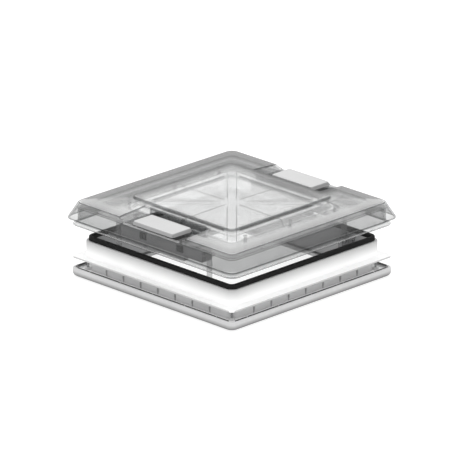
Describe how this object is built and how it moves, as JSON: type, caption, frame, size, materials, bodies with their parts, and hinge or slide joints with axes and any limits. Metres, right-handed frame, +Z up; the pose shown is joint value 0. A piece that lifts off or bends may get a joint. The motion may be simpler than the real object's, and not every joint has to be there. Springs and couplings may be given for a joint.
{
  "type": "roof vent",
  "caption": "Square caravan roof vent with a clear double-shell dome on lift bars, white flanged frame with rubber seal, and pale interior trim ring.",
  "frame": {"origin": "middle of the interior trim's lower face, under the middle of the dome", "axes": "+Z up out of the roof, X along the hinge axes, lift bars at -Y (front) and +Y (rear)"},
  "size_m": [0.4554, 0.4554, 0.167],
  "materials": {
    "clear_acrylic": "clear, slightly grey, glossy acrylic",
    "white_plastic": "smooth white moulding",
    "plate_white": "satin off-white cover",
    "liner_grey": "matte mid grey",
    "trim_grey": "fine-grained pale grey",
    "bar_grey": "matte dark grey",
    "hinge_black": "matte black",
    "seal_rubber": "matte black rubber",
    "screw_steel": "plain steel"
  },
  "bodies": {
    "frame": {"outer_frame": "white_plastic", "neck_liner": "liner_grey", "inner_trim": "trim_grey", "dome_seal": "seal_rubber", "clamp_screws": "screw_steel", "front_left_guide": "bar_grey", "front_right_guide": "bar_grey", "rear_left_guide": "bar_grey", "rear_right_guide": "bar_grey", "guide_screws": "screw_steel", "detent_springs": "screw_steel"},
    "front_bar": {"front_lift_bar": "bar_grey", "front_handle": "trim_grey"},
    "rear_bar": {"rear_lift_bar": "bar_grey", "rear_handle": "trim_grey"},
    "front_hinge": {"front_pins": "screw_steel", "front_pin_clips": "hinge_black"},
    "dome": {"outer_dome": "clear_acrylic", "inner_dome": "clear_acrylic", "front_cover_plate": "plate_white", "rear_cover_plate": "plate_white", "front_hinge_blocks": "hinge_black", "rear_hinge_blocks": "hinge_black", "rear_pins": "screw_steel", "rear_pin_clips": "hinge_black", "front_spacers": "clear_acrylic", "rear_spacers": "clear_acrylic", "front_dome_screws": "screw_steel", "rear_dome_screws": "screw_steel", "shell_posts": "clear_acrylic"}
  },
  "joints": [
    {"name": "front_lift", "type": "slide", "parent": "frame", "child": "front_bar", "axis": [0, 0, 1], "range_m": [-0.0524, 0], "deforming": ["dome_seal"]},
    {"name": "rear_lift", "type": "slide", "parent": "frame", "child": "rear_bar", "axis": [0, 0, 1], "range_m": [-0.0524, 0], "deforming": ["dome_seal"]},
    {"name": "front_tilt", "type": "hinge", "parent": "frame", "child": "front_hinge", "pos_m": [0, 0.176, 0.12], "axis": [1, 0, 0], "range_deg": [0, 8.53]},
    {"name": "rear_tilt", "type": "hinge", "parent": "front_hinge", "child": "dome", "pos_m": [0, -0.176, 0.12], "axis": [1, 0, 0], "range_deg": [-8.53, 0]}
  ],
  "couplings": [
    {"joint": "front_tilt", "follows": "front_lift", "rad_per_m": -2.8409},
    {"joint": "rear_tilt", "follows": "rear_lift", "rad_per_m": 2.8409}
  ]
}
